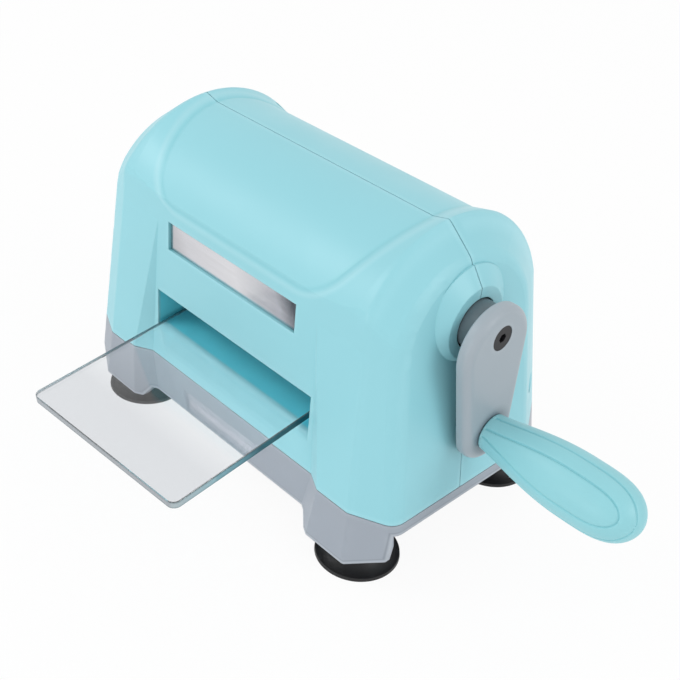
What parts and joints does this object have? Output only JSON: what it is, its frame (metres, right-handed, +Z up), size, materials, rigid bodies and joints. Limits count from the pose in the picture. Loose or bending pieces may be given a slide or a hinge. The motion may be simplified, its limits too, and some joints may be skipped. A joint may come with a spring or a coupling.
{
  "type": "die cutting and embossing machine",
  "caption": "Tabletop die cutting and embossing machine: arched housing on suction feet, a crank with a grip, geared rollers and a clear cutting plate.",
  "frame": {"origin": "on the table under the seam of the two shells, midway between the end faces", "axes": "+X to the crank side, +Y to the back, +Z up"},
  "size_m": [0.2297, 0.1579, 0.1241],
  "materials": {
    "shell_turquoise": "satin",
    "grip_turquoise": "satin",
    "base_grey": "satin",
    "foot_rubber": "satin",
    "clear_plate": "gloss",
    "label_metal": "polished",
    "dark_steel": "satin",
    "roller_steel": "satin",
    "frame_steel": "satin",
    "bearing_bronze": "satin",
    "gear_steel": "satin"
  },
  "bodies": {
    "housing": {"base": "base_grey", "base_screws": "dark_steel", "bearing_frame_standoffs": "roller_steel", "frame_bolts": "dark_steel", "frame_foot_bolts": "dark_steel", "frame_tie_rods": "roller_steel", "front_shell": "shell_turquoise", "inner_crank_bushing": "bearing_bronze", "label_plate": "label_metal", "left_lower_roller_bushing": "bearing_bronze", "left_side_frame": "frame_steel", "left_upper_roller_bushing": "bearing_bronze", "outer_bearing_frame": "frame_steel", "outer_crank_bushing": "bearing_bronze", "rear_shell": "shell_turquoise", "right_lower_roller_bushing": "bearing_bronze", "right_side_frame": "frame_steel", "right_upper_roller_bushing": "bearing_bronze", "shell_screws": "dark_steel", "suction_foot_front_left": "foot_rubber", "suction_foot_front_right": "foot_rubber", "suction_foot_rear_left": "foot_rubber", "suction_foot_rear_right": "foot_rubber"},
    "crank": {"crank_arm": "base_grey", "crank_hub_screw": "dark_steel", "crank_shaft": "dark_steel", "crank_shaft_ring": "dark_steel", "crank_pinion": "gear_steel", "grip_spindle": "dark_steel"},
    "grip": {"grip": "grip_turquoise"},
    "upper_roller": {"upper_roller": "roller_steel", "upper_roller_shaft": "roller_steel", "upper_roller_rings": "dark_steel", "upper_roller_gear": "gear_steel", "crank_driven_gear": "gear_steel"},
    "lower_roller": {"lower_roller": "roller_steel", "lower_roller_shaft": "roller_steel", "lower_roller_rings": "dark_steel", "lower_roller_gear": "gear_steel"},
    "plate": {"cutting_plate": "clear_plate"}
  },
  "joints": [
    {"name": "crank_turn", "type": "hinge", "parent": "housing", "child": "crank", "pos_m": [0.08, 0, 0.0945], "axis": [1, 0, 0], "continuous": true},
    {"name": "grip_spin", "type": "hinge", "parent": "crank", "child": "grip", "pos_m": [0.1, 0.00381, 0.05569], "axis": [1, 0, 0], "continuous": true},
    {"name": "upper_roller_spin", "type": "hinge", "parent": "housing", "child": "upper_roller", "pos_m": [0, 0, 0.067], "axis": [1, 0, 0], "continuous": true},
    {"name": "lower_roller_spin", "type": "hinge", "parent": "housing", "child": "lower_roller", "pos_m": [0, 0, 0.03575], "axis": [1, 0, 0], "continuous": true},
    {"name": "plate_slide", "type": "slide", "parent": "housing", "child": "plate", "axis": [-0.0436, 0.9936, 0.1044], "range_m": [-0.03, 0.085]}
  ],
  "couplings": [
    {"joint": "upper_roller_spin", "follows": "crank_turn", "ratio": -0.33333},
    {"joint": "lower_roller_spin", "follows": "crank_turn", "ratio": 0.33333}
  ]
}
